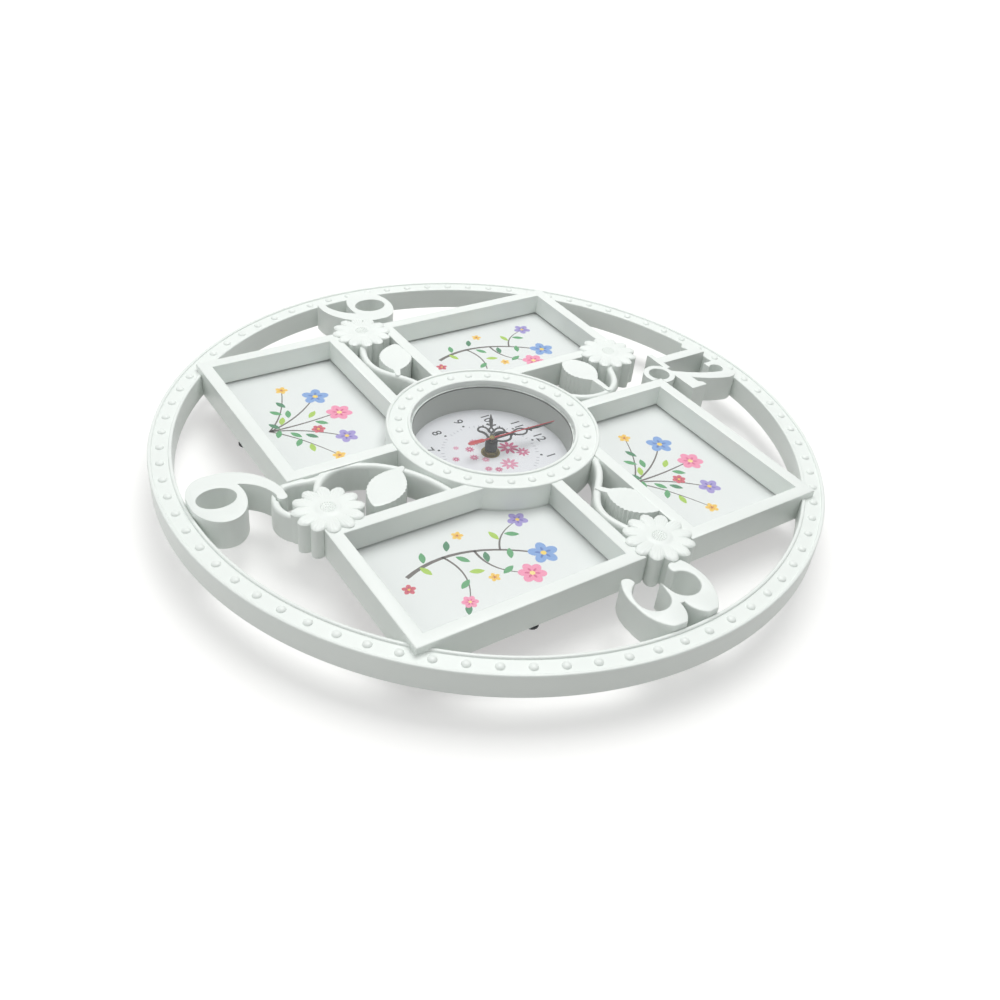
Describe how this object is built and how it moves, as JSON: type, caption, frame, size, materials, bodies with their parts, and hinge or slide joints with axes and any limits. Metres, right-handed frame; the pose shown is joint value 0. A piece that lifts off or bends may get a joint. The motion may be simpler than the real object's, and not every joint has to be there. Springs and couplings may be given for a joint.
{
  "type": "photo_frame_clock",
  "caption": "Round white wall clock with a beaded ring, photo frames round a beaded dial, moulded numerals and daisy sprays, and a quartz movement.",
  "frame": {"origin": "middle of the back, on the plane of the movement's back cover", "axes": "the clock lies on its back: +Z comes out of the dial, +Y points to 12 and +X to 3"},
  "size_m": [0.4899, 0.49, 0.0475],
  "materials": {
    "white_moulding": "satin",
    "clear_pane": "clear",
    "printed_paper": "matte print",
    "fibre_board": "raw hardboard",
    "black_plastic": "matte",
    "steel": "plain",
    "dial_print": "matte print",
    "dial_backing": "matte",
    "brass": "plated",
    "train_plastic": "natural acetal",
    "circuit": "lacquered",
    "coil_copper": "enamelled wire",
    "battery_skin": "plain wrap",
    "red_hand": "painted",
    "black_hand": "painted",
    "rotor_magnet": "plain"
  },
  "bodies": {
    "clock_body": {"outer_ring": "white_moulding", "dial_bezel": "white_moulding", "photo_frame_upper_right": "white_moulding", "photo_frame_lower_right": "white_moulding", "photo_frame_lower_left": "white_moulding", "photo_frame_upper_left": "white_moulding", "numeral_twelve": "white_moulding", "numeral_three": "white_moulding", "numeral_six": "white_moulding", "numeral_nine": "white_moulding", "flower_spray_twelve": "white_moulding", "flower_spray_three": "white_moulding", "flower_spray_six": "white_moulding", "flower_spray_nine": "white_moulding", "photo_pane_upper_right": "clear_pane", "photo_pane_lower_right": "clear_pane", "photo_pane_lower_left": "clear_pane", "photo_pane_upper_left": "clear_pane", "photo_insert_upper_right": "printed_paper", "photo_insert_lower_right": "printed_paper", "photo_insert_lower_left": "printed_paper", "photo_insert_upper_left": "printed_paper", "backing_board_upper_right": "fibre_board", "backing_board_lower_right": "fibre_board", "backing_board_lower_left": "fibre_board", "backing_board_upper_left": "fibre_board", "turn_button_screws": "steel", "dial_lens": "clear_pane", "dial_face": "dial_print", "dial_plate": "dial_backing", "dial_washer": "brass", "dial_nut": "brass", "movement_case": "black_plastic", "movement_cover": "black_plastic", "train_bridge": "train_plastic", "circuit_board": "circuit", "coil": "coil_copper", "stator": "steel", "battery": "battery_skin", "battery_contacts": "steel"},
    "turn_button_upper_right_a": {"turn_button_upper_right_a": "black_plastic"},
    "turn_button_upper_right_b": {"turn_button_upper_right_b": "black_plastic"},
    "turn_button_lower_right_a": {"turn_button_lower_right_a": "black_plastic"},
    "turn_button_lower_right_b": {"turn_button_lower_right_b": "black_plastic"},
    "turn_button_lower_left_a": {"turn_button_lower_left_a": "black_plastic"},
    "turn_button_lower_left_b": {"turn_button_lower_left_b": "black_plastic"},
    "turn_button_upper_left_a": {"turn_button_upper_left_a": "black_plastic"},
    "turn_button_upper_left_b": {"turn_button_upper_left_b": "black_plastic"},
    "second_train": {"second_wheel": "train_plastic", "second_hand": "red_hand", "hand_cap": "brass"},
    "minute_train": {"minute_wheel": "train_plastic", "minute_hand": "black_hand"},
    "hour_train": {"hour_wheel": "train_plastic", "hour_hand": "black_hand"},
    "third_train": {"third_wheel": "train_plastic"},
    "motion_train": {"motion_wheel": "train_plastic"},
    "setting_train": {"setting_knob": "black_plastic"},
    "step_train": {"step_wheel": "train_plastic"},
    "rotor_train": {"rotor": "rotor_magnet"}
  },
  "joints": [
    {"name": "second_turn", "type": "hinge", "parent": "clock_body", "child": "second_train", "pos_m": [0, 0, 0.00515], "axis": [0, 0, -1], "continuous": true},
    {"name": "minute_turn", "type": "hinge", "parent": "clock_body", "child": "minute_train", "pos_m": [0, 0, 0.00815], "axis": [0, 0, -1], "continuous": true},
    {"name": "hour_turn", "type": "hinge", "parent": "clock_body", "child": "hour_train", "pos_m": [0, 0, 0.01185], "axis": [0, 0, -1], "continuous": true},
    {"name": "third_turn", "type": "hinge", "parent": "clock_body", "child": "third_train", "pos_m": [0.00479, 0.00901, 0.00665], "axis": [0, 0, -1], "continuous": true},
    {"name": "motion_turn", "type": "hinge", "parent": "clock_body", "child": "motion_train", "pos_m": [0.00792, 0.00111, 0.01025], "axis": [0, 0, -1], "continuous": true},
    {"name": "setting_turn", "type": "hinge", "parent": "clock_body", "child": "setting_train", "pos_m": [0.01667, 0.00019, 0.002], "axis": [0, 0, -1], "continuous": true},
    {"name": "step_turn", "type": "hinge", "parent": "clock_body", "child": "step_train", "pos_m": [-0.00935, 0.00378, 0.00365], "axis": [0, 0, -1], "continuous": true},
    {"name": "rotor_turn", "type": "hinge", "parent": "clock_body", "child": "rotor_train", "pos_m": [-0.01385, 0.01225, 0.0064], "axis": [0, 0, -1], "continuous": true},
    {"name": "turn_button_upper_right_a_turn", "type": "hinge", "parent": "clock_body", "child": "turn_button_upper_right_a", "pos_m": [0.08671, 0.15952, 0.02095], "axis": [0, 0, 1], "range_deg": [-90, 90]},
    {"name": "turn_button_upper_right_b_turn", "type": "hinge", "parent": "clock_body", "child": "turn_button_upper_right_b", "pos_m": [0.08671, 0.04892, 0.02095], "axis": [0, 0, 1], "range_deg": [-90, 90]},
    {"name": "turn_button_lower_right_a_turn", "type": "hinge", "parent": "clock_body", "child": "turn_button_lower_right_a", "pos_m": [0.16751, -0.07872, 0.02095], "axis": [0, 0, 1], "range_deg": [-90, 90]},
    {"name": "turn_button_lower_right_b_turn", "type": "hinge", "parent": "clock_body", "child": "turn_button_lower_right_b", "pos_m": [0.05691, -0.07872, 0.02095], "axis": [0, 0, 1], "range_deg": [-90, 90]},
    {"name": "turn_button_lower_left_a_turn", "type": "hinge", "parent": "clock_body", "child": "turn_button_lower_left_a", "pos_m": [-0.08671, -0.04892, 0.02095], "axis": [0, 0, 1], "range_deg": [-90, 90]},
    {"name": "turn_button_lower_left_b_turn", "type": "hinge", "parent": "clock_body", "child": "turn_button_lower_left_b", "pos_m": [-0.08671, -0.15952, 0.02095], "axis": [0, 0, 1], "range_deg": [-90, 90]},
    {"name": "turn_button_upper_left_a_turn", "type": "hinge", "parent": "clock_body", "child": "turn_button_upper_left_a", "pos_m": [-0.05691, 0.07872, 0.02095], "axis": [0, 0, 1], "range_deg": [-90, 90]},
    {"name": "turn_button_upper_left_b_turn", "type": "hinge", "parent": "clock_body", "child": "turn_button_upper_left_b", "pos_m": [-0.16751, 0.07872, 0.02095], "axis": [0, 0, 1], "range_deg": [-90, 90]}
  ],
  "couplings": [
    {"joint": "third_turn", "follows": "second_turn", "ratio": -0.13333},
    {"joint": "minute_turn", "follows": "second_turn", "ratio": 0.016667},
    {"joint": "motion_turn", "follows": "second_turn", "ratio": -0.0055556},
    {"joint": "hour_turn", "follows": "second_turn", "ratio": 0.0013889},
    {"joint": "setting_turn", "follows": "second_turn", "ratio": 0.011905},
    {"joint": "step_turn", "follows": "second_turn", "ratio": -6},
    {"joint": "rotor_turn", "follows": "second_turn", "ratio": 30}
  ]
}
